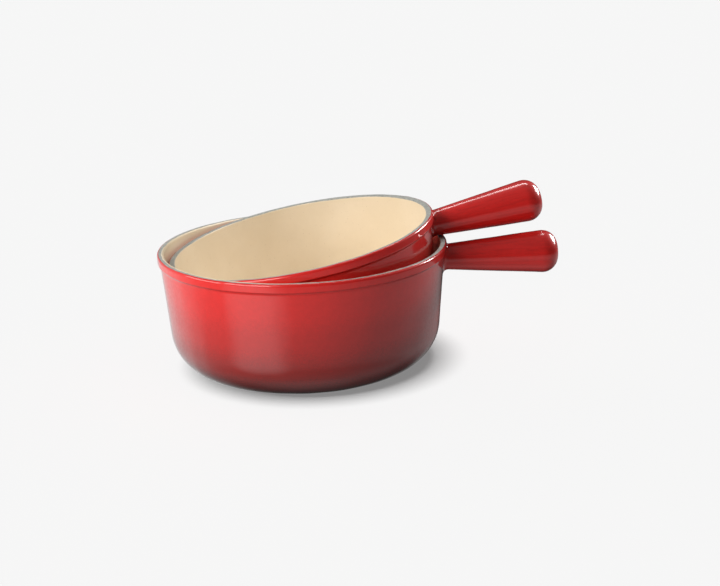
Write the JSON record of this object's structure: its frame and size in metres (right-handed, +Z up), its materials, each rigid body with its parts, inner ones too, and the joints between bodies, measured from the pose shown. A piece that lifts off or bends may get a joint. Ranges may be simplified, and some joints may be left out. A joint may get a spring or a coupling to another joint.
{
  "type": "fondue pot set",
  "caption": "Two nesting enamelled cast-iron fondue pots with stub handles, the smaller one resting tilted inside the larger.",
  "frame": {"origin": "centre of the large pot's flat base, on the surface that the set stands on", "axes": "+Z up, +X under the large pot's handle, so the set is longest along X"},
  "size_m": [0.3055, 0.22, 0.1319],
  "materials": {
    "cast_iron": "matte",
    "red_enamel": "gloss",
    "cream_enamel": "satin",
    "ground_coat": "matte",
    "base_ground_coat": "matte"
  },
  "bodies": {
    "large_pot": {"large_pot_casting": "cast_iron", "large_pot_outer_enamel": "red_enamel", "large_pot_inner_enamel": "cream_enamel", "large_pot_rim_coat": "ground_coat", "large_pot_base_coat": "base_ground_coat"},
    "small_pot": {"small_pot_casting": "cast_iron", "small_pot_outer_enamel": "red_enamel", "small_pot_inner_enamel": "cream_enamel", "small_pot_rim_coat": "ground_coat", "small_pot_base_coat": "base_ground_coat"}
  },
  "joints": [
    {"name": "small_pot_lift", "type": "slide", "parent": "large_pot", "child": "small_pot", "axis": [0, 0, 1], "range_m": [0, 0.12]}
  ]
}
